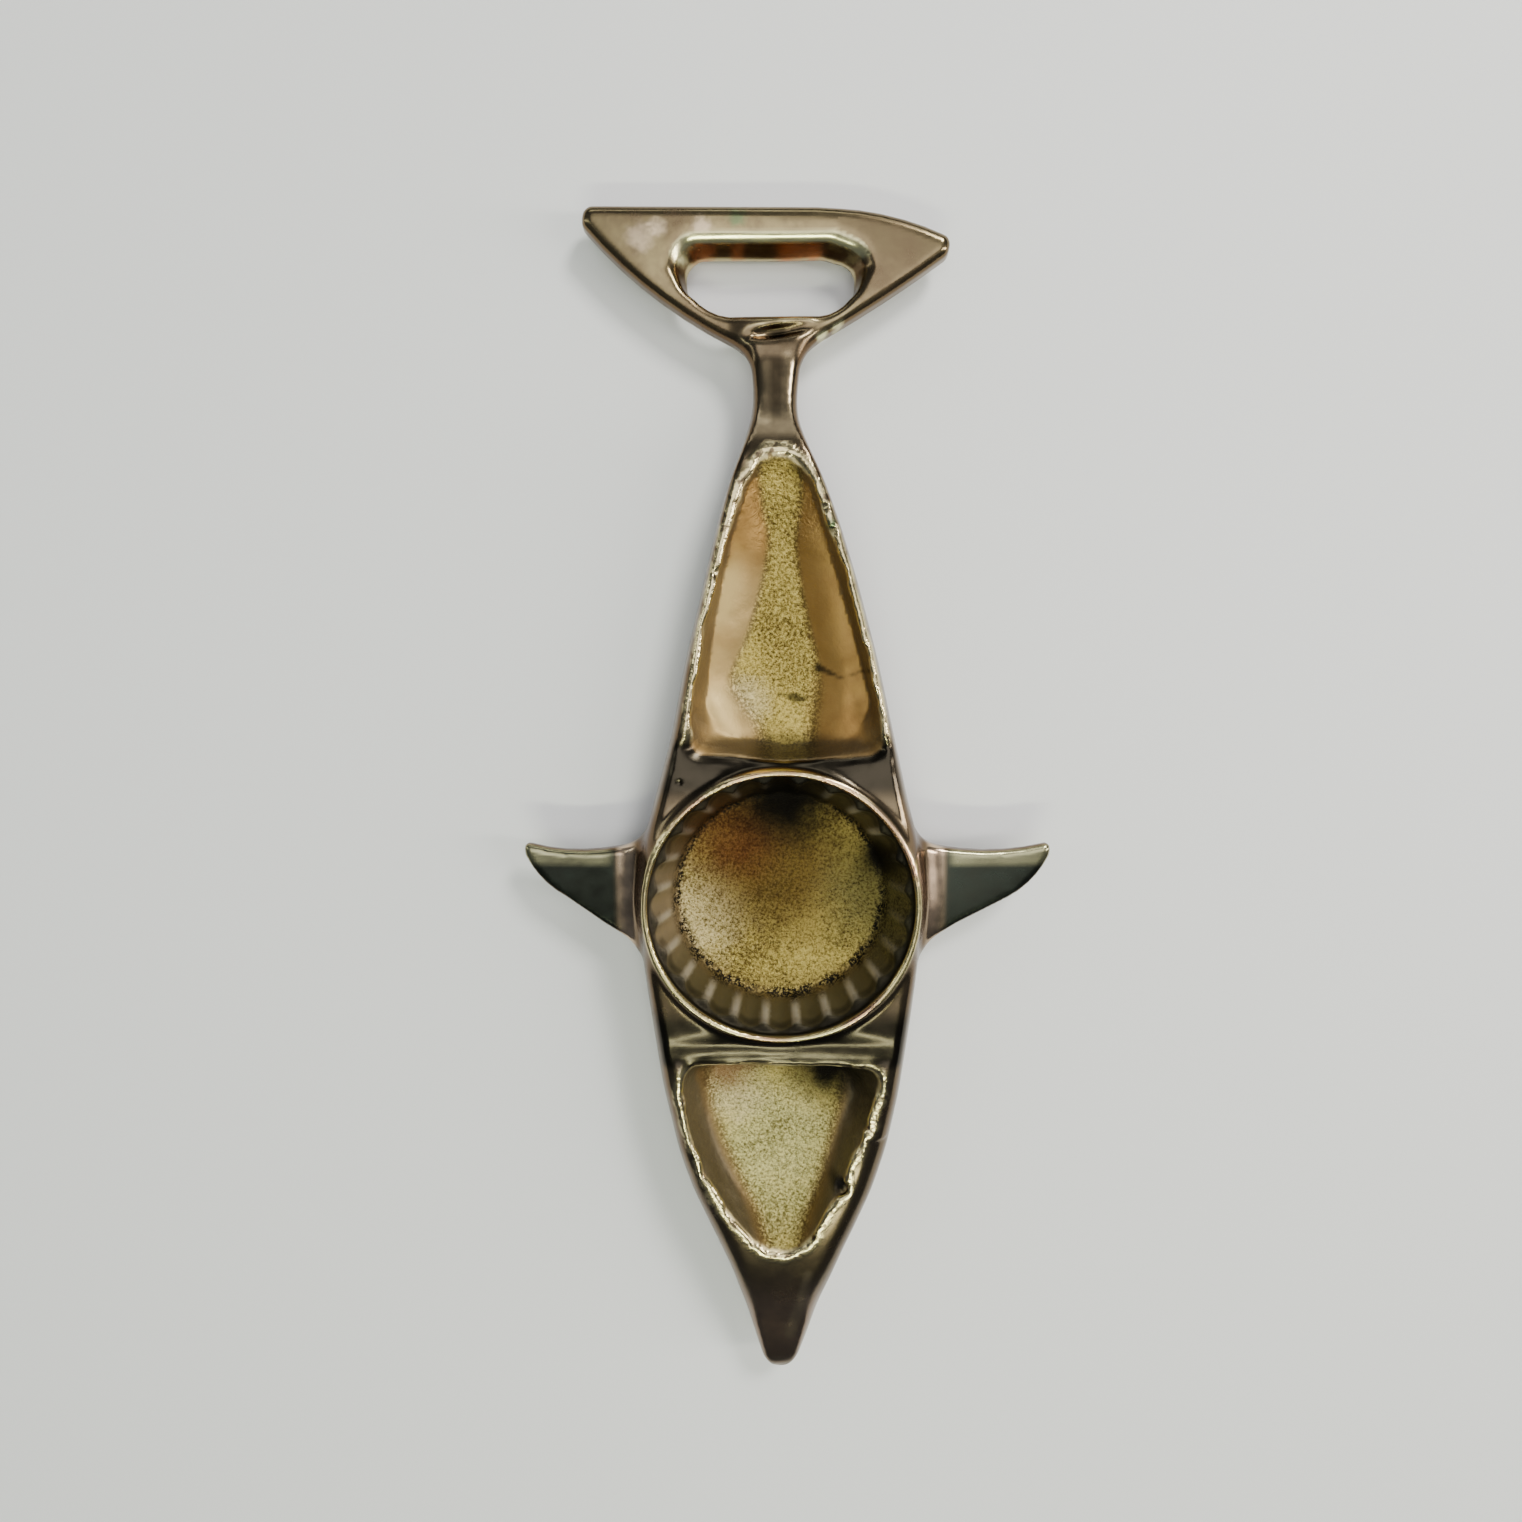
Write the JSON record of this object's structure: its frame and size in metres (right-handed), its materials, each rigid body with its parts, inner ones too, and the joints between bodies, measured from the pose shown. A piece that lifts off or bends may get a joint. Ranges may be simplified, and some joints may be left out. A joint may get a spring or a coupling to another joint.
{
  "type": "bottle opener",
  "caption": "Fish-shaped cast brass bottle opener with a cap-lifter window in the tail, side fins and a fluted round crown-cap socket between two cast hollows.",
  "frame": {"origin": "bottom centre of the casting's bounding box, on the surface that the back rests on", "axes": "+Y from the beak to the tail, +Z out of the socket, +X to the right seen from above with the tail away from the viewer"},
  "size_m": [0.0654, 0.1474, 0.012],
  "materials": {
    "brass": "hand-polished outside with a brown patina, rough as-cast hollows"
  },
  "bodies": {
    "root": {"opener_casting": "brass"}
  },
  "joints": []
}
